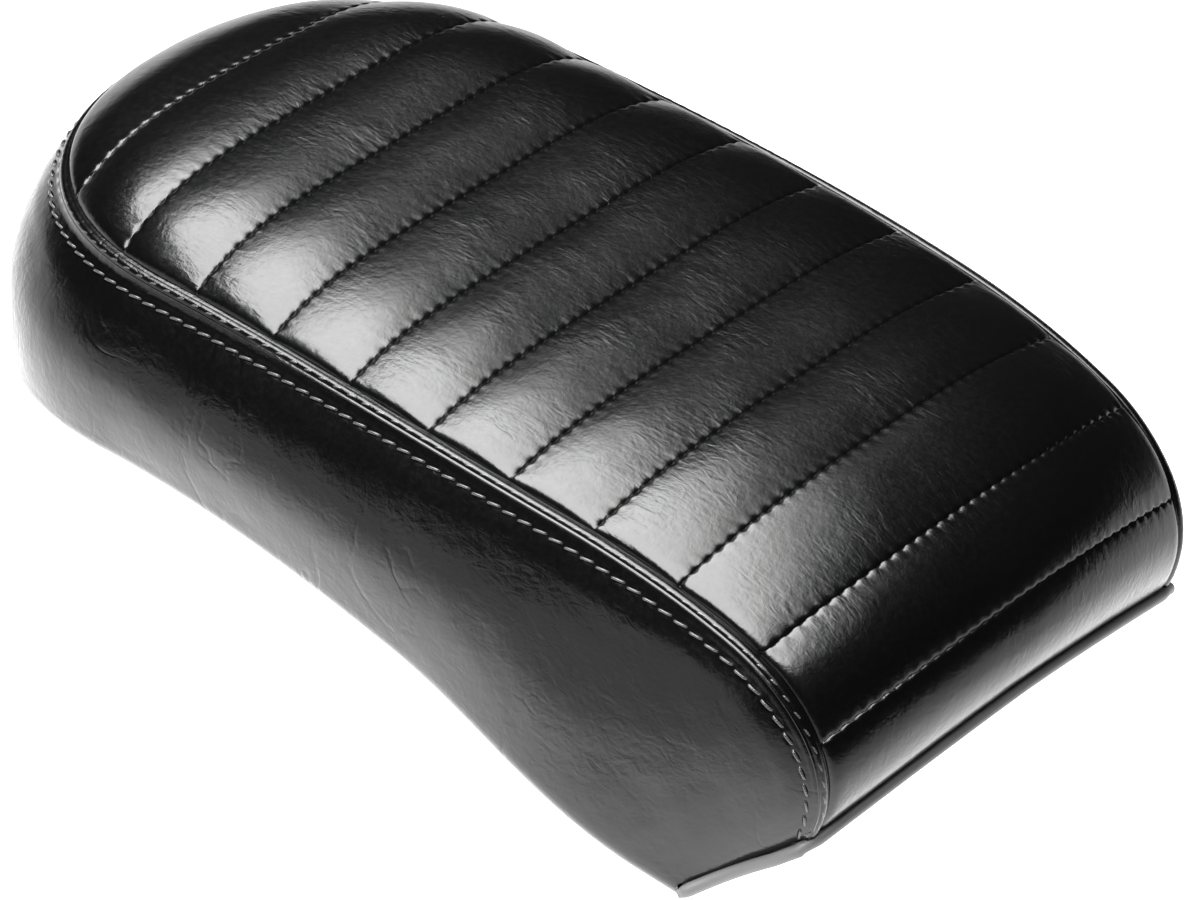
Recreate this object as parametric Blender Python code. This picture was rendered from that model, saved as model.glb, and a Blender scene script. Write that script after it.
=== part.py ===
"""Pleated pillion seat pad for a motorcycle's rear fender: vinyl cover, foam, steel pan and its fixings.

Millimetres in the constants and formulas, metres in the scene. +Z is up, +Y is the front (rider's) end,
+X is the rider's right. The pad stands on its two front wings and its rear edge, so z = 0 is that plane.
"""
import math

import bmesh
import bpy
import numpy as np
from mathutils import Matrix, Vector

MM = 0.001

# The top panel, measured along its centre line from the rear tip to the front bottom edge.
PITCH = 25.4                    # between two cross seams
CROSS_SEAMS = 11
FIRST_SEAM = 32.7
PANEL_LENGTH = 313.7
REAR_LENGTH = 74.4              # of the rounded rear end
ROUNDNESS = 2.19                # superellipse exponent of that end
TIP_Y, TIP_Z = -144.5, 53.8
TIP_HEADING = -6.5              # degrees below level, so the profile climbs at first
# Arcs of the profile: length, and degrees that it turns down.
PROFILE_ARCS = ((76.2, -1.2), (76.2, 4.0), (50.8, 2.5), (25.4, 5.9), (25.4, 8.4), (25.4, 30.8), (34.3, 64.0))
HALF_WIDTH = ((63.5, 76.7), (177.8, 78.4), (304.8, 71.3))
CROWN = ((0.0, 16.0), (50.8, 15.6), (127.0, 9.2), (203.2, 8.0), (254.0, 13.0), (313.7, 16.4))
FULLNESS = ((0.0, 5.2), (76.2, 5.1), (203.2, 3.4), (313.7, 1.45))
MOST_LEAN = 25.0                # degrees that the crown leans forward on the front face
PUFF = 1.5                      # of a pleat above its seams

# The side band, from the perimeter seam down to the roll round the pan's edge.
SHOULDER = 4.0
SHOULDER_OUT = 2.8
ROLL = 6.0
BELLY = ((0.0, 0.5), (152.4, 5.4), (313.7, -2.1))
BOTTOM_TIP_Y = -148.1
WING_Y = 116.2                  # where the bottom edge ends at a wing's corner
BOTTOM_HALF = ((-70.6, 90.0), (27.0, 93.7), (103.0, 93.0), (116.2, 88.1))
STRAIGHT_TO = 177.8             # rulings stand upright up to here and fan out after it

# The arch under the pad, which sits over a fender.
FENDER_RISE = 22.6
ARCH = ((-142.0, 24.0), (-75.0, 26.0), (-15.0, 24.0), (65.0, 32.0), (116.2, 42.0))

# Sheet and foam thicknesses.
VINYL = 1.2
GAP = 0.3
SEW_FOAM = 6.0
PAN = 1.6
FELT = 2.0
HEM = 12.0
WELD = 1e-6                     # metres

# The front trim, the foam and the pan inside the cover.
TRIM_RADIUS, TRIM_PROUD = 1.7, 0.9
PAN_COLUMNS = 13
CORE_SHORT = 6.0                # the foam block stops this far from the panel's front edge
PAN_PLACE = {"drop": VINYL + 3 * GAP, "inset": VINYL + 4 * GAP, "rows": 5}
PAN_LIFT = VINYL + 2 * GAP      # of the pan's underside over the hem's
LINER_ROWS, LINER_COLUMNS = slice(5, 16), slice(3, -3)

# Fixings.
SEAT_DROP = 1.0                 # of a spacer's top below the pan's underside
RIVET_RADIUS = 1.6              # of the shank
RIVET_STATIONS = (20.0, 68.0, 116.0, 164.0, 212.0, 256.0)
BUMPER_RADIUS, BUMPER_NECK = 8.4, 3.0
BUMPERS = {"rear_right": (46.0, -78.0), "rear_left": (-46.0, -78.0),
           "front_right": (50.0, 66.0), "front_left": (-50.0, 66.0)}
MOUNT_Y = {"rear": -63.5, "front": 63.5}
BOLT_RADIUS, BOLT_LENGTH, BOLT_HEAD = 3.15, 38.0, 7.4
SPACER_RADIUS, SPACER_HEIGHT = 12.0, 5.0
FENDER_ROOM = 2.6               # left between spacer and washer, for the fender's sheet
WASHER_RADIUS, WASHER_HEIGHT = 10.0, 1.5
NUT_HEIGHT, KNURL_RADIUS, COLLAR_RADIUS = 10.0, 9.0, 7.2
RUNNING_GAP = 0.08              # between a nut's bore and its bolt


def along(table, at):
    """Smooth Catmull-Rom value of a table of (station, value) rows."""
    x, v = np.array(table, float).T
    at = np.clip(np.asarray(at, float), x[0], x[-1])
    slope = np.gradient(v, x)
    i = np.clip(np.searchsorted(x, at, side="right") - 1, 0, len(x) - 2)
    span = x[i + 1] - x[i]
    u = (at - x[i]) / span
    return ((2 * u**3 - 3 * u**2 + 1) * v[i] + (u**3 - 2 * u**2 + u) * span * slope[i]
            + (3 * u**2 - 2 * u**3) * v[i + 1] + (u**3 - u**2) * span * slope[i + 1])


ARC_ENDS = np.cumsum([0.0] + [length for length, _ in PROFILE_ARCS])
ARC_HEADINGS = np.radians(np.cumsum([TIP_HEADING] + [turn for _, turn in PROFILE_ARCS]))
STEPS = np.linspace(0.0, PANEL_LENGTH, 1256)


def heading(s):
    return np.interp(s, ARC_ENDS, ARC_HEADINGS)


def run_of(direction):
    middle = direction((STEPS[1:] + STEPS[:-1]) / 2)
    return np.concatenate([[0.0], np.cumsum(middle * np.diff(STEPS))])


PROFILE_Y = TIP_Y + run_of(lambda s: np.cos(heading(s)))
PROFILE_Z = TIP_Z - run_of(lambda s: np.sin(heading(s)))


def rear_share(s):
    return np.clip((REAR_LENGTH - s) / REAR_LENGTH, 0.0, 1.0)


def half_width(s):
    return along(HALF_WIDTH, s) * (1.0 - rear_share(s) ** ROUNDNESS) ** (1.0 / ROUNDNESS)


def puff(s, rho):
    """Height of the pleats above their seams: nothing at a seam, most midway, pinched at the border."""
    first = s / FIRST_SEAM
    last = (PANEL_LENGTH - s) / (PANEL_LENGTH - FIRST_SEAM - (CROSS_SEAMS - 1) * PITCH)
    inner = (s - FIRST_SEAM) / PITCH
    past_last = 1.0 - np.clip(last, 0, 1)
    phase = np.where(s < FIRST_SEAM, first, np.where(inner > CROSS_SEAMS - 1, past_last, inner % 1.0))
    return PUFF * (1.0 - np.abs(2.0 * phase - 1.0) ** 2.4) * (1.0 - np.clip(rho, 0, 1) ** 7)


def outward(s, side):
    """Level unit vector that points out of the pad, square to the outline at panel station s."""
    wide = along(BOTTOM_HALF, TIP_Y + s)
    share = rear_share(s)
    x = (1.0 - share**ROUNDNESS) ** ((ROUNDNESS - 1.0) / ROUNDNESS) / wide
    y = -(share ** (ROUNDNESS - 1.0)) / REAR_LENGTH
    length = np.hypot(x, y)
    return np.stack([side * x / length, y / length, 0.0 * x], -1)


def panel(s, f, drop=0.0, inset=0.0, pleated=True):
    """Point of the top skin at s along it and f (-1 to 1) across it, sunk by drop and pulled in by inset."""
    s, f = np.broadcast_arrays(np.asarray(s, float), np.asarray(f, float))
    out_x, out_y, _ = np.moveaxis(outward(s, 1.0), -1, 0)
    x = f * np.maximum(half_width(s) - inset * out_x, 0.0)
    rho = ((np.abs(x) / along(HALF_WIDTH, s)) ** ROUNDNESS + rear_share(s) ** ROUNDNESS) ** (1.0 / ROUNDNESS)
    tilt = heading(s)
    lean = np.minimum(tilt, math.radians(MOST_LEAN))
    crown = along(CROWN, s) * (1.0 - np.clip(rho, 0, 1) ** along(FULLNESS, s))
    lift = (puff(s, rho) if pleated else 0.0) - drop
    y = np.interp(s, STEPS, PROFILE_Y) + crown * np.sin(lean) + lift * np.sin(tilt) - out_y * inset
    z = np.interp(s, STEPS, PROFILE_Z) + crown * np.cos(lean) + lift * np.cos(tilt)
    return np.stack([x, y, z], -1)


def bottom_y(s):
    """Station of the band's bottom edge that belongs to panel station s."""
    rear = (TIP_Y + REAR_LENGTH - BOTTOM_TIP_Y) * (1.0 - rear_share(s))
    straight = BOTTOM_TIP_Y + rear + np.maximum(s - REAR_LENGTH, 0)
    start = TIP_Y + STRAIGHT_TO
    fan = PANEL_LENGTH - STRAIGHT_TO
    squeeze = (1.0 - (WING_Y - start) / fan) * 2.0 / fan
    past = s - STRAIGHT_TO
    return np.where(s < STRAIGHT_TO, straight, start + past * (1.0 - squeeze * past / 2.0))


def rim_z(y):
    """Height of the bottom edge's underside: an arc like the fender's, from the rear tip to the wings."""
    low, high = BOTTOM_TIP_Y + ROLL, WING_Y
    half = (high - low) / 2.0
    radius = (half**2 + FENDER_RISE**2) / (2.0 * FENDER_RISE)
    return np.sqrt(radius**2 - (y - (low + high) / 2.0) ** 2) - (radius - FENDER_RISE)


ROLL_ANGLES = np.radians((30.0, 60.0, 90.0))


def flank(s, side, drop=0.0, inset=0.0, lift=0.0, rows=7):
    """Grid of the side band's skin: one column for each station s, from the seam down and round the roll."""
    s = np.asarray(s, float)
    top = panel(s, side, drop, inset, pleated=False)
    out = outward(s, side)
    up = np.array([0.0, 0.0, 1.0])
    wide = along(BOTTOM_HALF, bottom_y(s)) * (1.0 - rear_share(s) ** ROUNDNESS) ** (1.0 / ROUNDNESS)
    y = bottom_y(s)
    bottom = np.stack([side * wide, y, rim_z(y - out[..., 1] * ROLL) + ROLL], -1) - out * inset
    t = np.linspace(0.0, 1.0, rows)[:, None] ** 1.25
    reach = np.linalg.norm(bottom - top, axis=-1)
    shoulder = SHOULDER_OUT * np.sqrt(1.0 - (1.0 - np.clip(t * reach / SHOULDER, 0, 1)) ** 2)
    belly = shoulder - SHOULDER_OUT * t + along(BELLY, s) * np.sin(np.pi * t)
    wall = top + (bottom - top) * t[..., None] + out * belly[..., None]
    turn = ROLL_ANGLES[:, None, None]
    roll = bottom + out * (ROLL - inset) * (np.cos(turn) - 1.0) - up * (ROLL - lift) * np.sin(turn)
    return np.concatenate([wall, roll])


def arch_share(rho):
    """Share of the arch's height, from 0 at its rim to 1 in its middle, level at both."""
    return (1.0 + np.cos(np.pi * np.clip(np.abs(rho), 0, 1))) / 2.0


def underside(x, y, lift=0.0):
    """Height of the arched underside at a place under the pad, behind the wings' corners."""
    rear_end = TIP_Y + REAR_LENGTH
    share = np.clip((rear_end - y) / (rear_end - BOTTOM_TIP_Y - ROLL), 0, 1)
    wide = along(BOTTOM_HALF, y) - ROLL
    rho = ((np.abs(x) / wide) ** ROUNDNESS + share**ROUNDNESS) ** (1.0 / ROUNDNESS)
    return rim_z(y) + along(ARCH, y) * arch_share(rho) + lift


def base(s, f, drop=0.0, inset=0.0, lift=0.0, rows=7):
    """Grid of the underside: a row for each station, then rows up the front edge to the panel's end."""
    s = np.asarray(s, float)
    rim = flank(s, 1, drop, inset, lift, rows)
    behind = rim[-1]
    x = behind[:, :1] * f
    y = behind[:, 1:2] + 0 * f
    z = underside(x, y, lift)
    z[:, 0] = z[:, -1] = behind[:, 2]
    grid = [np.stack([x, y, z], -1)]
    end = panel(s[-1], f, drop, inset, pleated=False)
    end_rise = end[:, 2] - end[0, 2]
    front = rim[rows - 2::-1, -1]
    for i, edge in enumerate(front, 1):
        v = i / len(front)
        middle = (1.0 - v) * (along(ARCH, WING_Y) + lift) + v * end[:, 2].max()
        share = (1.0 - v) * arch_share(f) + v * end_rise / end_rise.max()
        push = v * v * (end[:, 1] - end[0, 1])
        grid.append(np.stack([edge[0] * f, edge[1] + push, edge[2] + (middle - edge[2]) * share], -1)[None])
    return np.concatenate(grid)


def stations(per_pleat, end=PANEL_LENGTH):
    """Panel stations: crowded at the rear tip, then per_pleat to a pitch, on every cross seam."""
    angles = np.radians(np.array((9.0, 18.0, 27.0, 36.0, 45.0, 53.0)))
    rear = REAR_LENGTH * (1.0 - np.cos(angles) ** (2.0 / ROUNDNESS))
    seams = FIRST_SEAM + np.arange(0, (CROSS_SEAMS - 1) * per_pleat + 1) * PITCH / per_pleat
    front = np.linspace(seams[-1], end, per_pleat + 2)[1:]
    return np.concatenate([rear[rear < FIRST_SEAM - 4.0], seams, front])


def across(columns):
    return np.sin(np.linspace(-math.pi / 2, math.pi / 2, columns))


# ---- mesh helpers -------------------------------------------------------------------------------------

def clear_scene():
    for thing in list(bpy.data.objects):
        bpy.data.objects.remove(thing)


def material(name, colour, roughness, metallic=0.0):
    made = bpy.data.materials.new(name)
    made.use_nodes = True
    shader = made.node_tree.nodes["Principled BSDF"]
    shader.inputs["Base Color"].default_value = (*colour, 1.0)
    shader.inputs["Roughness"].default_value = roughness
    shader.inputs["Metallic"].default_value = metallic
    return made


def add(name, bm, finish, smooth=True):
    bmesh.ops.recalc_face_normals(bm, faces=bm.faces)
    if bm.calc_volume(signed=True) < 0:
        bmesh.ops.reverse_faces(bm, faces=bm.faces)
    mesh = bpy.data.meshes.new(name)
    bm.to_mesh(mesh)
    bm.free()
    mesh.materials.append(finish)
    if smooth:
        mesh.shade_smooth()
        mesh.set_sharp_from_angle(angle=math.radians(40))
    thing = bpy.data.objects.new(name, mesh)
    bpy.context.scene.collection.objects.link(thing)
    return thing


def grid_faces(bm, points, closed=False):
    """Triangle pairs over a grid of points in millimetres; returns its rows of vertices."""
    rows = [[bm.verts.new(Vector(p) * MM) for p in row] for row in points]
    for low, high in zip(rows, rows[1:]):
        pairs = list(zip(low, low[1:], high[1:], high))
        if closed:
            pairs.append((low[-1], low[0], high[0], high[-1]))
        for a, b, c, d in pairs:
            bm.faces.new((a, b, c))
            bm.faces.new((a, c, d))
    return rows


def normals_of(points):
    along_rows = np.gradient(points, axis=0)
    along_columns = np.gradient(points, axis=1)
    n = np.cross(along_rows, along_columns)
    return n / np.maximum(np.linalg.norm(n, axis=-1, keepdims=True), 1e-9)


def border(rows):
    """The vertices round a grid, in order."""
    return rows[0] + [row[-1] for row in rows[1:-1]] + rows[-1][::-1] + [row[0] for row in rows[-2:0:-1]]


def shell(name, outer, inner, finish):
    """Closed sheet between two grids of the same size."""
    bm = bmesh.new()
    one = border(grid_faces(bm, outer))
    two = border(grid_faces(bm, inner))
    for i, vert in enumerate(one):
        following = (i + 1) % len(one)
        bm.faces.new((vert, one[following], two[following], two[i]))
    return add(name, bm, finish)


def turned(name, profile, finish, place, sides=20):
    """Solid of revolution from (radius, height) rows with both ends on the axis, stood at a place."""
    bm = bmesh.new()
    rings = []
    for radius, height in profile:
        if radius == 0:
            rings.append([bm.verts.new((0, 0, height * MM))])
            continue
        angles = [2 * math.pi * i / sides for i in range(sides)]
        r = radius * MM
        rings.append([bm.verts.new((r * math.cos(a), r * math.sin(a), height * MM)) for a in angles])
    for low, high in zip(rings, rings[1:]):
        for i in range(sides):
            j = (i + 1) % sides
            if len(low) == 1:
                bm.faces.new((low[0], high[i], high[j]))
            elif len(high) == 1:
                bm.faces.new((low[i], low[j], high[0]))
            else:
                bm.faces.new((low[i], low[j], high[j], high[i]))
    thing = add(name, bm, finish)
    thing.matrix_world = place
    return thing


def cutter(name, places, radius, below, above, sides=16):
    """Hidden cylinders, one at each place, that a Boolean takes away."""
    bm = bmesh.new()
    for place in places:
        middle = Matrix.Translation((0, 0, (above - below) / 2 * MM))
        bmesh.ops.create_cone(bm, cap_ends=True, segments=sides, radius1=radius * MM, radius2=radius * MM,
                              depth=(above + below) * MM, matrix=place @ middle)
    mesh = bpy.data.meshes.new(name)
    bm.to_mesh(mesh)
    bm.free()
    thing = bpy.data.objects.new(name, mesh)
    bpy.context.scene.collection.objects.link(thing)
    thing.hide_render = True
    thing.display_type = "WIRE"
    return thing


def cut(thing, tool):
    taken = thing.modifiers.new("cut_" + tool.name, "BOOLEAN")
    taken.operation = "DIFFERENCE"
    taken.object = tool


# ---- the pieces ---------------------------------------------------------------------------------------

def skin_normals(points):
    """Grid normals that point out of the pad."""
    normals = normals_of(points)
    middle = np.array([0.0, -10.0, 30.0])
    return normals * np.sign(np.sum((points - middle) * normals, axis=-1).mean())


def top_panel(finish):
    """The pleated vinyl, with each channel puffed up between its cross seams."""
    outer = panel(stations(3)[:, None], across(13), inset=0.5)
    shell("top_panel", outer, outer - skin_normals(outer) * VINYL, finish)


def pleat_foam(finish):
    """The thin foam that the vinyl is quilted to."""
    s, f = stations(2, PANEL_LENGTH - 5.0)[:, None], across(11)
    top = panel(s, f, drop=VINYL + 4 * GAP, inset=3.5)
    low = panel(s, f, drop=VINYL + GAP + SEW_FOAM, inset=3.5, pleated=False)
    shell("pleat_foam", top, low, finish)


def hem_place(s, side, width):
    """Place on the hem's underside, width in from the roll's lowest line."""
    out = outward(s, side)
    place = flank(s, side)[-1] - out * width
    place[:, 2] = underside(place[:, 0], place[:, 1])
    return place


def side_band(finish):
    """The plain boxing round the sides and rear, rolled under the pan's edge into a hem."""
    s = stations(2)
    tip = np.array([0.0])
    columns = []
    for stretch, side in ((s[::-1], 1), (tip, 1), (s, -1)):
        wall = flank(stretch, side, inset=-0.5, rows=6)
        hem = [hem_place(stretch, side, width)[None] for width in (HEM / 2, HEM)]
        columns.append(np.concatenate([wall, *hem]))
    outer = np.concatenate(columns, axis=1)
    return shell("side_band", outer, outer - skin_normals(outer) * VINYL, finish)


def foam_core(finish):
    """One moulded block that fills the cover, between the quilted foam and the pan."""
    sunk = {"drop": VINYL + SEW_FOAM + 7 * GAP, "inset": VINYL + 4 * GAP}
    lift, rows = PAN_LIFT + 1.5 * PAN + GAP, 5
    s, f = stations(1, PANEL_LENGTH - CORE_SHORT), across(PAN_COLUMNS)
    top = panel(s[:, None], f, **sunk, pleated=False)
    sides = [flank(s, side, **sunk, lift=lift, rows=rows) for side in (-1, 1)]
    bottom = base(s, f, **sunk, lift=lift, rows=rows)
    share = ((f + 1) / 2)[None, :, None]
    rear = sides[0][:, :1] * (1 - share) + sides[1][:, :1] * share
    rear[0], rear[-1] = top[0], bottom[0]
    bm = bmesh.new()
    for grid in (top, *sides, bottom, rear):
        grid_faces(bm, grid)
    for side in sides:
        bm.faces.new([bm.verts.new(Vector(p) * MM) for p in side[rows - 2:, -1]])
    bmesh.ops.remove_doubles(bm, verts=bm.verts, dist=WELD)
    return add("foam_core", bm, finish)


def base_pan(finish):
    """Formed steel sheet that follows the underside from rim to rim."""
    low = base(stations(1), across(PAN_COLUMNS), **PAN_PLACE, lift=PAN_LIFT)
    return shell("base_pan", low, low + up_normals(low) * PAN, finish)


def up_normals(points):
    normals = normals_of(points)
    return normals * np.sign(normals[..., 2].mean())


def fender_liner(finish):
    """Felt on the pan's underside, inside the hem, so that the pan doesn't scratch the fender."""
    whole = base(stations(1), across(PAN_COLUMNS), **PAN_PLACE, lift=PAN_LIFT - GAP)
    top = whole[LINER_ROWS, LINER_COLUMNS]
    return shell("fender_liner", top, top - up_normals(top) * FELT, finish)


def edge_trim(finish):
    """Rubber bead on the pan's front edge: up one wing, across the front and down the other wing."""
    last, near_last = np.array([PANEL_LENGTH]), np.array([PANEL_LENGTH - 2.0])
    f = np.linspace(1, -1, 17)[1:-1]
    tilt = heading(PANEL_LENGTH)
    ends, aheads, outs = [], [], []
    for side in (1, -1):
        end, before = (flank(s, side, rows=6)[:6, 0] for s in (last, near_last))
        level = np.broadcast_to(outward(last, side)[0], end.shape)
        order = slice(None, None, -side)
        ends.append(end[order])
        aheads.append((end - before)[order])
        outs.append(level)
    front = panel(PANEL_LENGTH, f, pleated=False)
    down = np.broadcast_to([0.0, math.cos(tilt), -math.sin(tilt)], front.shape)
    proud = np.broadcast_to([0.0, math.sin(tilt), math.cos(tilt)], front.shape)
    edge, ahead, out = (np.concatenate([rows[0], middle, rows[1]])
                        for rows, middle in ((ends, front), (aheads, down), (outs, proud)))
    run = np.gradient(edge, axis=0)
    run /= np.linalg.norm(run, axis=-1, keepdims=True)
    ahead = ahead - run * (ahead * run).sum(-1, keepdims=True)
    ahead /= np.linalg.norm(ahead, axis=-1, keepdims=True)
    route = edge + ahead * (TRIM_RADIUS + GAP) + out * TRIM_PROUD
    curve = bpy.data.curves.new("edge_trim", "CURVE")
    curve.dimensions = "3D"
    spline = curve.splines.new("POLY")
    spline.points.add(len(route) - 1)
    for point, place in zip(spline.points, route):
        point.co = (*(place * MM), 1.0)
    curve.bevel_depth = TRIM_RADIUS * MM
    curve.bevel_resolution = 2
    curve.use_fill_caps = True
    curve.materials.append(finish)
    thing = bpy.data.objects.new("edge_trim", curve)
    bpy.context.scene.collection.objects.link(thing)


def square_to_pan(x, y, lift=0.0):
    """Matrix that stands a piece square to the underside at a place, with its +Z into the pad."""
    step = 1.0
    slope_x = (underside(x + step, y) - underside(x - step, y)) / (2 * step)
    slope_y = (underside(x, y + step) - underside(x, y - step)) / (2 * step)
    up = Vector((-slope_x, -slope_y, 1.0)).normalized()
    place = Vector((x, y, float(underside(x, y, lift)))) * MM
    return Matrix.Translation(place) @ up.to_track_quat("Z", "Y").to_matrix().to_4x4()


def upright(x, y, z):
    return Matrix.Translation(Vector((x, y, z)) * MM)


def rivet_places():
    places = {}
    for side, word in ((1, "right"), (-1, "left")):
        for number, s in enumerate(RIVET_STATIONS, 1):
            x, y, _ = hem_place(np.array([s]), side, HEM * 0.55)[0]
            places[f"hem_rivet_{word}_{number}"] = square_to_pan(x, y)
    return places


def rivet(name, place, finish):
    """Domed head under the hem, shank through hem and pan, and the blind end set on top of the pan."""
    through = PAN_LIFT + PAN + GAP
    section = [(0, -GAP - 1.1), (2.0, -GAP - 0.9), (3.2, -GAP), (RIVET_RADIUS, -GAP),
               (RIVET_RADIUS, through), (2.6, through), (2.2, through + 1.4), (0, through + 1.6)]
    turned(name, section, finish, place, sides=10)


def bumper(name, place, finish):
    """Rubber foot pushed into the pan: dome below, neck through the pan and a barb above it."""
    under, above = -2 * GAP, PAN_LIFT + PAN + 3 * GAP
    section = [(0, -7.0), (4.5, -6.6), (7.4, -4.8), (BUMPER_RADIUS, under), (BUMPER_NECK, under),
               (BUMPER_NECK, above), (4.6, above), (2.6, above + 3.0), (0, above + 3.2)]
    turned(name, section, finish, place, sides=14)


def ring(name, inner, outer, low, high, finish, place, sides=20, bevel=0.0):
    """Flat ring round the place's Z axis."""
    bm = bmesh.new()
    section = [(inner, low), (outer - bevel, low), (outer, low + bevel), (outer, high - bevel),
               (outer - bevel, high), (inner, high)]
    section = [point for i, point in enumerate(section) if point != section[i - 1]]
    angles = 2 * math.pi * np.arange(sides) / sides
    rings = [[(r * math.cos(a), r * math.sin(a), z) for a in angles] for r, z in section]
    grid_faces(bm, rings + rings[:1], closed=True)
    bmesh.ops.remove_doubles(bm, verts=bm.verts, dist=WELD)
    thing = add(name, bm, finish)
    thing.matrix_world = place


def mounting_bolt(name, y, finish):
    """Carriage bolt with its head in the foam and its thread hanging below the pan; it stays put."""
    r, head = BOLT_RADIUS, BOLT_HEAD
    top = float(max(underside(0.0, y - head), underside(0.0, y + head))) + PAN_LIFT + PAN + GAP
    section = [(0, -BOLT_LENGTH), (r - 1.0, -BOLT_LENGTH), (r, -BOLT_LENGTH + 1.0), (r, 0),
               (head, 0), (6.6, 2.0), (4.0, 3.3), (0, 3.8)]
    turned(name, section, finish, upright(0.0, y, top), sides=20)


def thumb_nut(name, place, finish):
    """Knurled nut: a fluted barrel under a plain collar, bored for the bolt."""
    bm = bmesh.new()
    flutes, inner = 24, BOLT_RADIUS + RUNNING_GAP
    turns = 2 * math.pi * np.arange(2 * flutes) / (2 * flutes)
    fluted = np.where(np.arange(2 * flutes) % 2, 1.0, 0.93)
    section = [(inner, -NUT_HEIGHT, 0), (KNURL_RADIUS - 0.8, -NUT_HEIGHT, 0),
               (KNURL_RADIUS, -NUT_HEIGHT + 0.8, 1), (KNURL_RADIUS, -3.4, 1),
               (COLLAR_RADIUS, -2.8, 0), (COLLAR_RADIUS, 0, 0), (inner, 0, 0)]
    rings = []
    for radius, z, knurled in section:
        r = radius * (fluted if knurled else 1.0) * np.ones(len(turns))
        rings.append(np.stack([r * np.cos(turns), r * np.sin(turns), z + 0 * r], -1))
    grid_faces(bm, rings + rings[:1], closed=True)
    bmesh.ops.remove_doubles(bm, verts=bm.verts, dist=WELD)
    thing = add(name, bm, finish)
    thing.matrix_world = place


def mounts(steel, zinc, rubber):
    """Each mount: a carriage bolt, its rubber spacer, a washer and a thumb nut, all on one upright axis."""
    for word, y in MOUNT_Y.items():
        seat = float(min(underside(0.0, y - SPACER_RADIUS), underside(0.0, y + SPACER_RADIUS))) - SEAT_DROP
        mounting_bolt(f"{word}_mounting_bolt", y, steel)
        ring(f"{word}_spacer", BOLT_RADIUS + 0.4, SPACER_RADIUS, -SPACER_HEIGHT, 0.0, rubber,
             upright(0, y, seat), bevel=1.0)
        washer = seat - SPACER_HEIGHT - FENDER_ROOM
        ring(f"{word}_washer", BOLT_RADIUS + 0.2, WASHER_RADIUS, -WASHER_HEIGHT, 0.0, zinc,
             upright(0, y, washer))
        thumb_nut(f"{word}_thumb_nut", upright(0, y, washer - WASHER_HEIGHT - GAP), zinc)


def main():
    clear_scene()
    vinyl = material("vinyl", (0.02, 0.02, 0.021), 0.35)
    foam = material("foam", (0.55, 0.53, 0.45), 0.9)
    steel = material("painted_steel", (0.03, 0.03, 0.03), 0.5, 0.3)
    zinc = material("zinc", (0.6, 0.6, 0.62), 0.3, 1.0)
    rubber = material("rubber", (0.02, 0.02, 0.02), 0.7)
    felt = material("felt", (0.05, 0.05, 0.05), 0.95)
    top_panel(vinyl)
    pleat_foam(foam)
    band, core, pan, liner = side_band(vinyl), foam_core(foam), base_pan(steel), fender_liner(felt)
    edge_trim(rubber)
    rivets = rivet_places()
    for name, place in rivets.items():
        rivet(name, place, zinc)
    bumpers = {f"bumper_{word}": square_to_pan(x, y) for word, (x, y) in BUMPERS.items()}
    for name, place in bumpers.items():
        bumper(name, place, rubber)
    mounts(steel, zinc, rubber)
    bolts = [upright(0, y, float(underside(0.0, y, VINYL))) for y in MOUNT_Y.values()]
    rivet_holes = cutter("rivet_holes", rivets.values(), RIVET_RADIUS + GAP, 4.0, 7.0, sides=10)
    bumper_holes = cutter("bumper_holes", bumpers.values(), BUMPER_NECK + GAP, 4.0, 7.0, sides=12)
    bolt_holes = cutter("bolt_holes", bolts, BOLT_RADIUS + GAP, 6.0, 5.0)
    cut(band, rivet_holes)
    for hole in (rivet_holes, bumper_holes, bolt_holes):
        cut(pan, hole)
    cut(liner, cutter("spacer_holes", bolts, SPACER_RADIUS + 2 * GAP, 10.0, 5.0, sides=20))
    cut(liner, cutter("bumper_clearance", bumpers.values(), BUMPER_RADIUS + 6 * GAP, 6.0, 5.0, sides=14))
    cut(core, cutter("rivet_pockets", rivets.values(), 3.0, 1.0, 5.6, sides=10))
    cut(core, cutter("bumper_pockets", bumpers.values(), 5.6, 1.0, 8.4, sides=12))
    cut(core, cutter("bolt_pockets", bolts, BOLT_HEAD + 0.4, 2.0, 7.4))


main()
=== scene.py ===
"""Looks of the pleated pillion pad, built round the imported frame.

Lengths in the constants and formulas are millimetres, as in the design; meshes are in metres.
+Z is up, +Y is the front (rider's) end, +X is the rider's right.
"""
import math

import bmesh
import bpy
import numpy as np
from mathutils import Matrix, Vector


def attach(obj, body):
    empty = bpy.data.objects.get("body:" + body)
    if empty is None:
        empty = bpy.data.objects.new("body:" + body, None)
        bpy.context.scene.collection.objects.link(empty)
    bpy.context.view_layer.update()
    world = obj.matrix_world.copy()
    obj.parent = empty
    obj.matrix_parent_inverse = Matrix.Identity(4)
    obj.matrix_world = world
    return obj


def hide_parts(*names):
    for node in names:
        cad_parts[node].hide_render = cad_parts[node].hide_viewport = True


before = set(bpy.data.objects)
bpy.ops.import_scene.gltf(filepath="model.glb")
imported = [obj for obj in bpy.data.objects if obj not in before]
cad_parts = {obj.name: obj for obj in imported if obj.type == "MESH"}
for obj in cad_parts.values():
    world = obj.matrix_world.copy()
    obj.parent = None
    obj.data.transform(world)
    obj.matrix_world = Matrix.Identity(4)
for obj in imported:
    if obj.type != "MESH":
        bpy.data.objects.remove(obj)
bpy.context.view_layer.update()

MM = 0.001
PAD = "pad"

# ---- the pad's driving dimensions -----------------------------------------------------------------
# The same as the design's, apart from PUFF, BELLY and the shoulder.
# A panel station is a distance along the top's centre line from its rear tip.

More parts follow.
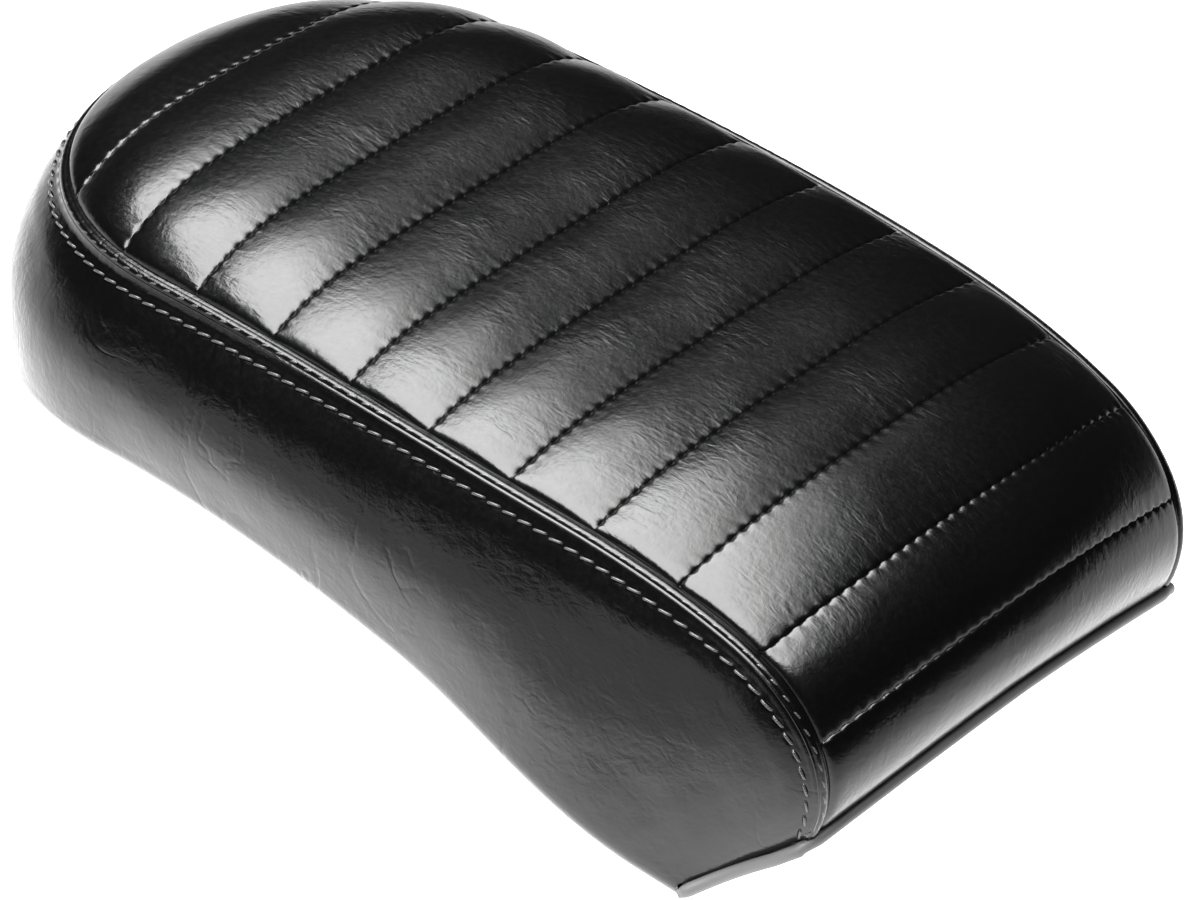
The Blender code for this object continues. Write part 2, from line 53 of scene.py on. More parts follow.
PITCH = 25.4                        # between two cross seams
CROSS_SEAMS = 11
FIRST_SEAM = 32.7                   # station of the rearmost seam
PANEL_LENGTH = 313.7
REAR_LENGTH = 74.4                  # of the rounded rear end
ROUNDNESS = 2.19                    # superellipse exponent of the rear end
TIP_Y, TIP_Z = -144.5, 53.8         # of the joint's rear tip
TIP_HEADING = -6.5                  # of the centre line there: downward slope in degrees
# Centre line from the rear tip forward: length of each arc, degrees that it turns down.
PROFILE_ARCS = ((76.2, -1.2), (76.2, 4.0), (50.8, 2.5), (25.4, 5.9), (25.4, 8.4), (25.4, 30.8),
                (34.3, 64.0))
# Tables of (panel station, value): from centre line to joint, the middle's height over the joint, exponent
# of that crown across the pad, bulge of the band.
HALF_WIDTH = ((63.5, 76.7), (177.8, 78.4), (304.8, 71.3))
CROWN = ((0.0, 16.0), (50.8, 15.6), (127.0, 9.2), (203.2, 8.0), (254.0, 13.0), (313.7, 16.4))
FULLNESS = ((0.0, 5.2), (76.2, 5.1), (203.2, 3.4), (313.7, 1.45))
BELLY = ((0.0, 4.0), (152.4, 5.4), (313.7, -2.1))
# Tables of (y, value): half the width at the bottom edge, the underside's middle over that edge.
BOTTOM_HALF = ((-70.6, 90.0), (27.0, 93.7), (103.0, 93.0), (116.2, 88.1))
ARCH = ((-142.0, 24.0), (-75.0, 26.0), (-15.0, 24.0), (65.0, 32.0), (116.2, 42.0))
MOST_LEAN = 25.0                    # of the crown, forward from the vertical, in degrees
PUFF = 1.0                          # of a pleat above its seams
SHOULDER, SHOULDER_OUT = 8.0, 1.6   # length and depth of the band's turn below the joint
SHOULDER_CURVE = 1.6                # exponent of that turn
ROLL = 6.0                          # radius of the band's bottom roll
BOTTOM_TIP_Y, WING_Y = -148.1, 116.2    # rear and front ends of the bottom edge
STRAIGHT_TO = 177.8                 # station where the band's front fan starts
FENDER_RISE = 22.6                  # of the bottom edge's arc over its two ends
VINYL = 1.2
SHEET = VINYL * 0.75                # thickness that the vinyl is drawn with
GAP = 0.3
HEM = 12.0
TRIM_RADIUS, TRIM_PROUD = 1.7, 0.9
TONGUE = 0.5                        # thickness of the rubber behind the bead

# ---- sewing ---------------------------------------------------------------------------------------

PLEAT_STITCH = 4.1              # needle hole to needle hole
EDGE_STITCH = 4.7
THREAD = (0.31, 0.28)           # half its width and height
PRESSED_THREAD = (0.31, 0.15)   # on the welt, pulled into the vinyl
HEAVY_THREAD = (0.36, 0.32)     # on the band
THREAD_SINK = 0.3               # of the welt's stitches into the vinyl
PLEAT_LIFT, BAND_LIFT = 0.1, 0.12   # of the other stitches over the vinyl
PLEAT_THREAD, EDGE_THREAD = 0.86, 0.9       # a thread's length as a share of its pitch
PLEAT_SLANT, EDGE_SLANT = 0.26, 0.16        # of a thread across its row
STITCH_ARCH, STITCH_DIVE = 0.22, 0.65       # of a thread's middle upwards, of its ends downwards
STITCH_TAPER = 0.35             # share of its thickness that a thread loses at its ends
COVER_TUCK = 1.0                # from the joint to the cover's edge, under the welt
PLEAT_END = 5.2                 # from the joint to the line where the pleats are pinched
PLEAT_ROUND = 4.0               # length of a pleat's rounded end
INNER_ROW = 2.55                # stitches on the welt, from the joint
OUTER_ROW = 2.5                 # stitches on the band, from the joint
# Section of the welt, from its tucked edge to the joint: distance from the joint, height over the skin.
WELT = ((2.6, -1.6), (3.5, -1.5), (4.05, -1.2), (4.3, -0.75), (4.3, -0.3), (4.15, 0.0),
        (3.9, 0.25), (3.6, 0.43), (3.3, 0.55), (3.0, 0.62), (2.7, 0.63), (2.4, 0.58),
        (2.1, 0.45), (1.8, 0.25), (1.45, 0.03), (1.0, -0.23), (0.6, -0.43), (0.2, -0.62))
WELT_FOLD = 6                   # first row past the fold, from where the distance only shrinks

# ---- relief of the sewn vinyl: heights and depths -------------------------------------------------

SUNK = 0.7                      # of the pleats' seams below the smooth skin
HOLE = (0.95, 0.45)             # length and width of a needle hole's dimple
HOLE_SLANT = 18.0               # of the dimple across its row, in degrees
PLEAT_HOLE, BAND_HOLE = 0.7, 0.3    # depth of the dimples
PINCH = 0.5                     # of the line where the pleats end
GROOVE = 0.26                   # of a cross seam under its thread
RIPPLE = 0.15                   # of the seam's edges between two stitches
PUCKER, PUCKER_REACH = 0.042, 4.6   # of the small folds on both sides of a seam
SLACK, FINE_SLACK = 0.10, 0.02      # of the loose vinyl over a pleat
BAND_FALL, FALL_REACH = 0.8, 25.0   # of the band where the joint draws it in
BAND_PUCKER, BAND_PUCKER_REACH = 0.07, 5.0      # of its small folds below the joint
BAND_SLACK, BAND_FINE_SLACK = 0.22, 0.07        # of its loose vinyl

# ---- the meshes' grids ----------------------------------------------------------------------------

COVER_COLUMNS = 361
EDGE_CROWDING = 1.18            # the cover's columns stand closer together towards its edges
SHOULDER_STEPS = np.linspace(0.0, 0.11, 13)     # shares of the band's height, rows close together
LOWER_STEPS = np.linspace(0.11, 1.0, 34)[1:]


# ---- skin of the pad ------------------------------------------------------------------------------

def along(table, at):
    """Smooth value of a table of (station, value) rows at a station."""
    x, v = np.array(table, float).T
    at = np.clip(np.asarray(at, float), x[0], x[-1])
    slope = np.gradient(v, x)
    i = np.clip(np.searchsorted(x, at, side="right") - 1, 0, len(x) - 2)
    span = x[i + 1] - x[i]
    u = (at - x[i]) / span
    return ((2 * u**3 - 3 * u**2 + 1) * v[i] + (u**3 - 2 * u**2 + u) * span * slope[i]
            + (3 * u**2 - 2 * u**3) * v[i + 1] + (u**3 - u**2) * span * slope[i + 1])


ARC_ENDS = np.cumsum([0.0] + [length for length, _ in PROFILE_ARCS])
ARC_HEADINGS = np.radians(np.cumsum([TIP_HEADING] + [turn for _, turn in PROFILE_ARCS]))
STEPS = np.linspace(0.0, PANEL_LENGTH, 1256)


def heading(s):
    """Downward slope of the centre line at panel station s, in radians."""
    return np.interp(s, ARC_ENDS, ARC_HEADINGS)


def run_of(direction):
    """Running sum of a direction's share over the centre line."""
    middle = direction((STEPS[1:] + STEPS[:-1]) / 2)
    return np.concatenate([[0.0], np.cumsum(middle * np.diff(STEPS))])


PROFILE_Y = TIP_Y + run_of(lambda s: np.cos(heading(s)))
PROFILE_Z = TIP_Z - run_of(lambda s: np.sin(heading(s)))


def rear_share(s):
    """1 at the rear tip and 0 where the sides start."""
    return np.clip((REAR_LENGTH - s) / REAR_LENGTH, 0.0, 1.0)


def half_width(s):
    """Half the width between the joints at panel station s."""
    return along(HALF_WIDTH, s) * (1.0 - rear_share(s) ** ROUNDNESS) ** (1.0 / ROUNDNESS)


def outward(s, side):
    """Level unit vector that points out of the pad, square to the outline at panel station s."""
    wide = along(BOTTOM_HALF, TIP_Y + s)
    share = rear_share(s)
    x = (1.0 - share**ROUNDNESS) ** ((ROUNDNESS - 1.0) / ROUNDNESS) / wide
    y = -(share ** (ROUNDNESS - 1.0)) / REAR_LENGTH
    length = np.hypot(x, y)
    return np.stack([side * x / length, y / length, 0.0 * x], -1)


def fullness_ratio(s, x):
    """0 on the centre line and 1 on the outline."""
    across = np.abs(x) / along(HALF_WIDTH, s)
    return (across**ROUNDNESS + rear_share(s) ** ROUNDNESS) ** (1.0 / ROUNDNESS)


def skin(s, x):
    """Smooth top surface, without its pleats, at station s and x across."""
    s, x = np.broadcast_arrays(np.asarray(s, float), np.asarray(x, float))
    rho = np.clip(fullness_ratio(s, x), 0, 1)
    crown = along(CROWN, s) * (1.0 - rho ** along(FULLNESS, s))
    lean = np.minimum(heading(s), math.radians(MOST_LEAN))
    y = np.interp(s, STEPS, PROFILE_Y) + crown * np.sin(lean)
    z = np.interp(s, STEPS, PROFILE_Z) + crown * np.cos(lean)
    return np.stack([x, y, z], -1)


def skin_normal(s, x):
    """Unit vector out of the smooth top surface."""
    step = 0.4
    across = skin(s, x + step) - skin(s, x - step)
    ahead = skin(s + step, x) - skin(s - step, x)
    return unit(np.cross(across, ahead))


def unit(v):
    return v / np.maximum(np.linalg.norm(v, axis=-1, keepdims=True), 1e-9)


def length_along(points):
    """Distance from the first point, along the first axis of an array of points."""
    steps = np.linalg.norm(np.diff(points, axis=0), axis=-1)
    return np.concatenate([0 * steps[:1], np.cumsum(steps, axis=0)])


def from_edge(s, x):
    """Distance over the skin from the seam joint, exact near it."""
    step = 0.5
    rho = fullness_ratio(s, x)
    slope = np.hypot(fullness_ratio(s + step, x) - fullness_ratio(s - step, x),
                     fullness_ratio(s, np.abs(x) + step) - fullness_ratio(s, np.abs(x) - step)) / (2 * step)
    level = (1.0 - rho) / np.maximum(slope, 1e-3)
    full = along(FULLNESS, s)
    drop = along(CROWN, s) * full * np.clip((1.0 + rho) / 2, 0, 1) ** (full - 1.0) * slope
    return level * np.sqrt(1.0 + drop**2)


def bottom_y(s):
    """Station of the band's bottom edge that belongs to panel station s."""
    rear = (TIP_Y + REAR_LENGTH - BOTTOM_TIP_Y) * (1.0 - rear_share(s))
    straight = BOTTOM_TIP_Y + rear + np.maximum(s - REAR_LENGTH, 0)
    start = TIP_Y + STRAIGHT_TO
    fan = PANEL_LENGTH - STRAIGHT_TO
    squeeze = (1.0 - (WING_Y - start) / fan) * 2.0 / fan
    past = s - STRAIGHT_TO
    return np.where(s < STRAIGHT_TO, straight, start + past * (1.0 - squeeze * past / 2.0))


def rim_z(y):
    """Height of the bottom edge's underside: an arc from the rear tip to the wings' corners."""
    low, high = BOTTOM_TIP_Y + ROLL, WING_Y
    half = (high - low) / 2.0
    radius = (half**2 + FENDER_RISE**2) / (2.0 * FENDER_RISE)
    return np.sqrt(radius**2 - (y - (low + high) / 2.0) ** 2) - (radius - FENDER_RISE)


def wall(s, side, t):
    """Side band from the joint (t = 0) to the start of the bottom roll (t = 1): a row for each t."""
    out = outward(s, side)
    top = skin(s, side * half_width(s))
    wide = along(BOTTOM_HALF, bottom_y(s)) * (1.0 - rear_share(s) ** ROUNDNESS) ** (1.0 / ROUNDNESS)
    y = bottom_y(s)
    bottom = np.stack([side * wide, y, rim_z(y - out[..., 1] * ROLL) + ROLL], -1)
    t = t[:, None]
    reach = np.linalg.norm(bottom - top, axis=-1)
    shoulder = SHOULDER_OUT * (1.0 - (1.0 - np.clip(t * reach / SHOULDER, 0, 1)) ** SHOULDER_CURVE)
    belly = shoulder - SHOULDER_OUT * t + along(BELLY, s) * np.sin(np.pi * t)
    return top + (bottom - top) * t[..., None] + out * belly[..., None], bottom, out


def underside(x, y):
    """Height of the arched underside at a place under the pad, behind the wings' corners."""
    share = np.clip((TIP_Y + REAR_LENGTH - y) / (TIP_Y + REAR_LENGTH - BOTTOM_TIP_Y - ROLL), 0, 1)
    wide = along(BOTTOM_HALF, y) - ROLL
    rho = ((np.abs(x) / wide) ** ROUNDNESS + share**ROUNDNESS) ** (1.0 / ROUNDNESS)
    share_of_arch = (1.0 + np.cos(np.pi * np.clip(rho, 0, 1))) / 2.0
    return rim_z(y) + along(ARCH, y) * share_of_arch


def outline_stations(count_rear, step):
    """Panel stations evenly spaced along the outline: round the rear end, then up to the front edge."""
    angles = np.linspace(0.0, math.pi / 2, count_rear + 1)[:-1]
    rear = REAR_LENGTH * (1.0 - np.cos(angles) ** (2.0 / ROUNDNESS))
    rest = PANEL_LENGTH - REAR_LENGTH
    return np.concatenate([rear, np.linspace(REAR_LENGTH, PANEL_LENGTH, int(rest / step) + 1)])


# ---- noise ----------------------------------------------------------------------------------------

def lattice_noise(x, y, seed):
    """Smooth noise from -1 to 1 with a feature size of 1, the same on each run."""
    table = np.random.default_rng(seed).uniform(0.0, 2 * math.pi, (257, 257))
    xi, yi = np.floor(x).astype(int), np.floor(y).astype(int)
    xf, yf = x - xi, y - yi

    def corner(i, j):
        angle = table[(xi + i) % 257, (yi + j) % 257]
        return np.cos(angle) * (xf - i) + np.sin(angle) * (yf - j)

    u, v = (w * w * w * (w * (w * 6 - 15) + 10) for w in (xf, yf))
    low = corner(0, 0) * (1 - u) + corner(1, 0) * u
    high = corner(0, 1) * (1 - u) + corner(1, 1) * u
    return 1.5 * (low * (1 - v) + high * v)


def bump_at(distance, width):
    """1 at distance 0, falling to nothing over about twice the width."""
    return np.exp(-((distance / width) ** 2))


def ease(value):
    """Smooth step from 0 to 1 while the value goes from 0 to 1."""
    value = np.clip(value, 0.0, 1.0)
    return value * value * (3.0 - 2.0 * value)


# ---- mesh helpers ---------------------------------------------------------------------------------

def piece(name, verts, faces, finish, uvs=None):
    """New mesh object from vertices in millimetres, smooth shaded, riding on the pad."""
    mesh = bpy.data.meshes.new(name)
    mesh.from_pydata((np.asarray(verts) * MM).tolist(), [], faces)
    mesh.materials.append(finish)
    if uvs is not None:
        layer = mesh.uv_layers.new(name="UVMap")
        corners = np.empty(len(mesh.loops), np.int32)
        mesh.loops.foreach_get("vertex_index", corners)
        layer.data.foreach_set("uv", np.asarray(uvs, np.float32)[corners].ravel())
    mesh.shade_smooth()
    thing = bpy.data.objects.new(name, mesh)
    bpy.context.scene.collection.objects.link(thing)
    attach(thing, PAD)
    return thing


def grid_quads(rows, columns, start, flip):
    """Faces of a grid of vertices that are numbered row by row from start."""
    i, j = np.meshgrid(np.arange(rows - 1), np.arange(columns - 1), indexing="ij")
    a = start + i * columns + j
    quads = np.stack([a, a + 1, a + columns + 1, a + columns], -1).reshape(-1, 4)
    return quads[:, ::-1] if flip else quads


def grid_normals(points):
    """Unit normals of a grid of points."""
    return unit(np.cross(np.gradient(points, axis=1), np.gradient(points, axis=0)))


def closed_sheet(name, outer, thickness, finish, uv=None, flip=False):
    """Sheet with an inner side a thickness below the outer one, and its four edges closed."""
    rows, columns = outer.shape[:2]
    normals = grid_normals(outer) * (1.0 if flip else -1.0)
    inner = outer - normals * thickness
    count = rows * columns
    index = np.arange(count).reshape(rows, columns)
    rim = np.concatenate([index[0], index[1:, -1], index[-1, -2::-1], index[-2:0:-1, 0]])
    after = np.roll(rim, -1)
    walls = np.stack([rim, after, after + count, rim + count], -1)
    top, low = grid_quads(rows, columns, 0, not flip), grid_quads(rows, columns, count, flip)
    faces = np.concatenate([top, low, walls if flip else walls[:, ::-1]])
    verts = np.concatenate([outer.reshape(-1, 3), inner.reshape(-1, 3)])
    uvs = None if uv is None else np.concatenate([uv.reshape(-1, 2)] * 2)
    thing = piece(name, verts, faces.tolist(), finish, uvs)
    bm = bmesh.new()
    bm.from_mesh(thing.data)
    bmesh.ops.recalc_face_normals(bm, faces=bm.faces)
    bm.to_mesh(thing.data)
    bm.free()
    return thing


def tube(name, route, radius, finish, sides):
    """Round bar along a route, with domed ends."""
    route = np.asarray(route, float)
    tangent = unit(np.gradient(route, axis=0))
    side = unit(np.cross(tangent, [0.0, 0.0, 1.0]))
    up = np.cross(side, tangent)
    angle = 2 * math.pi * np.arange(sides) / sides
    radii = np.full(len(route), radius)
    radii[[0, -1]] *= 0.55
    radii[[1, -2]] *= 0.9
    ring = np.cos(angle)[None, :, None] * side[:, None] + np.sin(angle)[None, :, None] * up[:, None]
    verts = (route[:, None] + ring * radii[:, None, None]).reshape(-1, 3)
    faces = []
    for i in range(len(route) - 1):
        for j in range(sides):
            k = (j + 1) % sides
            faces.append((i * sides + j, i * sides + k, (i + 1) * sides + k, (i + 1) * sides + j))
    last = (len(route) - 1) * sides
    faces += [tuple(range(sides))[::-1], tuple(range(last, last + sides))]
    return piece(name, verts, faces, finish)


# ---- materials ------------------------------------------------------------------------------------

class Nodes:
    """Short hand for wiring a material's node tree; texture scales are features in a metre."""

    def __init__(self, name):
        self.material = bpy.data.materials.new(name)
        self.material.use_nodes = True
        self.tree = self.material.node_tree
        self.shader = self.tree.nodes["Principled BSDF"]

    def node(self, kind, inputs=None, **settings):
        made = self.tree.nodes.new(kind)
        for key, value in settings.items():
            setattr(made, key, value)
        for key, value in (inputs or {}).items():
            if isinstance(value, bpy.types.NodeSocket):
                self.tree.links.new(value, made.inputs[key])
            else:
                made.inputs[key].default_value = value
        return made

    def set(self, **values):
        for key, value in values.items():
            socket = self.shader.inputs[key.replace("_", " ")]
            if isinstance(value, bpy.types.NodeSocket):
                self.tree.links.new(value, socket)
            else:
                socket.default_value = value

    def place(self, output="Object"):
        return self.node("ShaderNodeTexCoord").outputs[output]

    def stretched(self, vector, scale, rotation=(0.0, 0.0, 0.0)):
        mapping = self.node("ShaderNodeMapping", {"Vector": vector, "Scale": scale, "Rotation": rotation})
        return mapping.outputs["Vector"]

    def noise(self, vector, scale, detail=3.0, rough=0.5, distortion=0.0):
        inputs = {"Vector": vector, "Scale": scale, "Detail": detail, "Roughness": rough,
                  "Distortion": distortion}
        return self.node("ShaderNodeTexNoise", inputs).outputs["Fac"]

    def voronoi(self, vector, scale, feature):
        inputs = {"Vector": vector, "Scale": scale}
        return self.node("ShaderNodeTexVoronoi", inputs, feature=feature).outputs["Distance"]

    def math(self, operation, a, b=0.0):
        return self.node("ShaderNodeMath", {0: a, 1: b}, operation=operation).outputs[0]

    def span(self, value, low, high, to_low=0.0, to_high=1.0):
        inputs = {"Value": value, "From Min": low, "From Max": high, "To Min": to_low, "To Max": to_high}
        return self.node("ShaderNodeMapRange", inputs).outputs["Result"]

    def ramp(self, value, low, high):
        made = self.node("ShaderNodeValToRGB", {"Fac": value})
        made.color_ramp.elements[0].color = (*low, 1.0)
        made.color_ramp.elements[1].color = (*high, 1.0)
        return made.outputs["Color"]

    def bump(self, height, strength, distance, normal=None):
        inputs = {"Height": height, "Strength": strength, "Distance": distance}
        if normal is not None:
            inputs["Normal"] = normal
        return self.node("ShaderNodeBump", inputs).outputs["Normal"]


def vinyl(name, mottle, crinkle, crease):
    """Glossy black upholstery vinyl: pebbled grain, fine crinkles in patches and a few longer creases.

    mottle, crinkle and crease are the strengths of its unevenness, fine crinkles and longer creases.
    """
    n = Nodes(name)
    where = n.place()
    patches = n.span(n.noise(where, 38.0, detail=2.0), 0.42, 0.62)
    winding = n.math("ABSOLUTE", n.math("SUBTRACT", n.noise(where, 34.0, distortion=0.9), 0.5))
    creased = n.span(n.noise(where, 21.0, detail=1.0), 0.50, 0.60)
    creases = n.math("MULTIPLY", n.span(winding, 0.0, 0.035), creased)
    pebble = n.voronoi(where, 1150.0, "SMOOTH_F1")
    fine = n.noise(where, 620.0, detail=4.0, rough=0.6, distortion=0.4)
    uneven = n.noise(where, 210.0, rough=0.55, distortion=0.8)
    lengthwise = n.stretched(where, (520.0, 170.0, 300.0), (0.0, 0.0, 0.35))
    streaks = n.math("MULTIPLY", n.noise(lengthwise, 1.0, rough=0.6, distortion=0.9), patches)
    normal = n.bump(pebble, 0.07, 0.00020)
    normal = n.bump(fine, 0.20, 0.00025, normal)
    normal = n.bump(uneven, mottle, 0.00050, normal)
    normal = n.bump(streaks, crinkle, 0.00060, normal)
    normal = n.bump(creases, crease, 0.00040, normal)
    shade = n.ramp(n.noise(where, 24.0), (0.0008, 0.0008, 0.0009), (0.0018, 0.0018, 0.0019))
    n.set(Base_Color=shade, Roughness=n.span(fine, 0.3, 0.7, 0.19, 0.25), Normal=normal)
    return n.material


def thread(name, dark, light):
    """Bonded thread, its plies twisted in relief; its colour carries painted shade and highlight, darker in
    the grooves and lighter on the crests.
    """
    n = Nodes(name)
    twist_and_shade = n.node("ShaderNodeTexWave", {"Vector": n.place("UV"), "Scale": 1.0, "Distortion": 0.4},
                   bands_direction="DIAGONAL").outputs["Fac"]
    # painted shade and highlight: the colour follows the same wave as the relief, darker in its grooves and
    # lighter on its crests
    n.set(Base_Color=n.ramp(twist_and_shade, (dark,) * 3, (light,) * 3), Roughness=0.22, IOR=1.65,
          Normal=n.bump(twist_and_shade, 0.25, 0.0001))
    return n.material


def rubber(name, shade, rough):
    """Matt rubber from a shade of grey up, with a fine grain."""
    n = Nodes(name)
    where = n.place()
    normal = n.bump(n.noise(where, 900.0), 0.15, 0.0002)
    n.set(Base_Color=n.ramp(n.noise(where, 60.0), (shade,) * 3, (shade * 1.4,) * 3),
          Roughness=n.span(n.noise(where, 90.0), 0.3, 0.7, rough, rough + 0.1), Normal=normal)
    return n.material


def powder_coat():
    """Black powder coat with its orange peel."""
    n = Nodes("powder_coat")
    where = n.place()
    peel = n.noise(where, 700.0, detail=2.0)
    n.set(Base_Color=n.ramp(n.noise(where, 45.0), (0.012, 0.012, 0.013), (0.022, 0.022, 0.023)),
          Roughness=n.span(peel, 0.3, 0.7, 0.38, 0.52), Normal=n.bump(peel, 0.25, 0.0002))
    return n.material


def zinc():
    """Bright zinc plate, drawn along its length."""
    n = Nodes("zinc_plate")
    where = n.place()
    drawn = n.noise(n.stretched(where, (900.0, 900.0, 90.0)), 1.0)
    n.set(Base_Color=n.ramp(n.noise(where, 150.0), (0.50, 0.50, 0.52), (0.66, 0.67, 0.70)), Metallic=1.0,
          Roughness=n.span(drawn, 0.3, 0.7, 0.22, 0.38), Normal=n.bump(drawn, 0.15, 0.0001))
    return n.material


def felt():
    """Needled felt of mixed dark fibres."""
    n = Nodes("needled_felt")
    where = n.place()
    combed = n.stretched(where, (900.0, 260.0, 500.0), (0.0, 0.0, 0.7))
    hairs = n.noise(combed, 1.0, detail=5.0, rough=0.7, distortion=1.5)
    n.set(Base_Color=n.ramp(hairs, (0.016, 0.016, 0.017), (0.060, 0.060, 0.064)), Roughness=0.95,
          Sheen_Weight=0.3, Normal=n.bump(hairs, 0.8, 0.0006))
    return n.material


def foam():
    """Open-cell seat foam."""
    n = Nodes("seat_foam")
    where = n.place()
    cells = n.voronoi(where, 900.0, "DISTANCE_TO_EDGE")
    n.set(Base_Color=n.ramp(n.noise(where, 80.0), (0.50, 0.44, 0.26), (0.66, 0.60, 0.40)), Roughness=0.95,
          Normal=n.bump(cells, 0.7, 0.0008))
    return n.material


# ---- pleated cover --------------------------------------------------------------------------------

def seam_distance(s):
    """(number of the nearest cross seam, distance past it; negative behind it)."""
    k = np.clip(np.round((s - FIRST_SEAM) / PITCH), 0, CROSS_SEAMS - 1)
    return k, s - (FIRST_SEAM + k * PITCH)


def pleat_height(s):
    """Height of the padded channels over their seams, without their ends.

    The rearmost channel keeps its full height over its rear half.
    """
    last = FIRST_SEAM + (CROSS_SEAMS - 1) * PITCH
    phase = np.where(s < FIRST_SEAM, s / FIRST_SEAM,
                     np.where(s > last, (s - last) / (PANEL_LENGTH - last), ((s - FIRST_SEAM) / PITCH) % 1.0))
    full = 1.0 - np.abs(2.0 * phase - 1.0) ** 2.1
    rear = np.where(phase < 0.5, 1.0, full**2)
    return PUFF * np.where(s < FIRST_SEAM, rear, full)


def needle_holes(run, past, pitch, depth):
    """Dimples that the thread pulls into the vinyl, a pitch apart along a row and slanted across it."""
    ahead = (run / pitch - np.round(run / pitch)) * pitch
    slant = math.radians(HOLE_SLANT)
    lengthwise = ahead * math.cos(slant) + past * math.sin(slant)
    crosswise = past * math.cos(slant) - ahead * math.sin(slant)
    long, wide = HOLE
    return -depth * np.exp(-((lengthwise / long) ** 2) - (crosswise / wide) ** 2)


def cover_stations():
    """Rows of the cover: along the outline at the rear, then close together at each cross seam."""
    offsets = np.array([0.0, 0.35, 0.7, 1.05, 1.45, 1.95, 2.6, 3.4, 4.4, 5.5, 6.7, 8.0, 9.4, 11.0, 12.7])
    around = np.concatenate([-offsets[:0:-1], offsets[:-1]])
    seams = (FIRST_SEAM + PITCH * np.arange(CROSS_SEAMS))[:, None] + around
    rear = outline_stations(130, 1.0)
    rear = rear[(half_width(rear) > 4.0) & (rear < seams[0, 0] - 0.3)]
    front = np.arange(seams[-1, -1] + 1.0, PANEL_LENGTH - 0.5, 1.0)
    return np.concatenate([rear, seams.ravel(), front, [PANEL_LENGTH]])


def cover_relief(s, x):
    """Height of the sewn surface over the smooth skin."""
    edge = from_edge(s, x)
    seam, past = seam_distance(s)
    away = np.abs(past)
    inside = ease((edge - PLEAT_END + 1.0) / 1.6)      # 0 in the margin at the joint, 1 on the pleats
    rounded = np.sqrt(1.0 - (1.0 - np.clip((edge - PLEAT_END) / PLEAT_ROUND, 0, 1)) ** 2)
    height = pleat_height(s) * rounded
    height = height - PINCH * bump_at(edge - PLEAT_END + 0.3, 0.8)
    height = height - GROOVE * bump_at(away, 0.5) * inside
    ripple = RIPPLE * np.cos(2 * math.pi * x / PLEAT_STITCH) * np.exp(-away / 0.9)
    scallop = needle_holes(x, past, PLEAT_STITCH, PLEAT_HOLE) - ripple
    coarse = lattice_noise(x / 5.3, seam * 5.1 + past / 14.0, 4)
    drawn = lattice_noise(x / 2.7, seam * 9.3 + past / 9.0, 3) + 0.7 * coarse
    behind = np.where(past < 0, 1.0, 0.55)
    pucker = PUCKER * drawn * np.exp(-away / PUCKER_REACH) * (1.0 - np.exp(-away / 0.7)) * behind
    slack = SLACK * lattice_noise(x / 26.0, s / 15.0, 5) + FINE_SLACK * lattice_noise(x / 9.0, s / 6.0, 6)
    return height - SUNK + (scallop + pucker + slack * rounded) * inside


def pleated_cover(finish):
    """Vinyl top, quilted in channels, tucked under the welt all round."""
    s = cover_stations()
    out_x, out_y, _ = np.moveaxis(outward(s, 1.0), -1, 0)
    across = np.sin(np.linspace(-1.0, 1.0, COVER_COLUMNS) * EDGE_CROWDING) / math.sin(EDGE_CROWDING)
    x = across * (half_width(s) - COVER_TUCK * out_x)[:, None]
    at = (s - COVER_TUCK * out_y)[:, None] + 0 * x
    outer = skin(at, x) + skin_normal(at, x) * cover_relief(at, x)[..., None]
    cover = closed_sheet("pleated_cover", outer, SHEET, finish, np.stack([x, at], -1) * MM)
    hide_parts("top_panel")


# ---- side band ------------------------------------------------------------------------------------

def welt_place(s, side, distance):
    """(place on the skin, its normal) at a distance over the skin from the joint, inwards."""
    out = outward(s, side)
    probe = 2.0
    run = np.linalg.norm(
        skin(s - out[..., 1] * probe, side * half_width(s) - out[..., 0] * probe)
        - skin(s, side * half_width(s)), axis=-1)
    level = distance * probe / run
    at, x = s - out[..., 1] * level, side * half_width(s) - out[..., 0] * level
    return skin(at, x), skin_normal(at, x)


def band_columns():
    """(panel station, side) of each column: from the right wing round the rear to the left wing."""
    s = outline_stations(120, 1.0)
    right = np.stack([s[:0:-1], np.ones(len(s) - 1)])
    left = np.stack([s, -np.ones(len(s))])
    return np.concatenate([right, left], axis=1)


def band_relief(distance, run):
    """Height of the band over its smooth shape: drawn in at the joint, stitch holes, then soft unevenness."""
    fall = -BAND_FALL * (1.0 - ease(distance / FALL_REACH))
    scallop = needle_holes(run, distance - OUTER_ROW, EDGE_STITCH, BAND_HOLE)
    drawn = BAND_PUCKER * lattice_noise(run / 3.6, distance / 9.0, 11) * np.exp(-distance / BAND_PUCKER_REACH)
    coarse = lattice_noise(run / 30.0, distance / 17.0, 12)
    fine = lattice_noise(run / 9.0, distance / 7.0, 13)
    slack = BAND_SLACK * coarse + BAND_FINE_SLACK * fine
    return fall + scallop + drawn + slack * ease((distance - 3.0) / 8.0)


def band_wall(s, side, t):
    """Smooth band: (places, normals, distance below the joint, start of the roll, outward direction)."""
    places, bottom, out = wall(s, side, t)
    normals = grid_normals(places)
    normals *= np.sign(np.sum(normals * out, axis=-1).mean())
    return places, normals, length_along(places), bottom, out


def welt_rows(s, side, joint_normal):
    """Rows of the welt's section, which turns to the joint's own normal close to the joint."""
    rows = []
    for distance, height in WELT:
        place, normal = welt_place(s, side, distance)
        normal = unit(normal + joint_normal * max(0.0, 1.0 - distance / 1.2))
        rows.append(place + normal * height)
    return rows


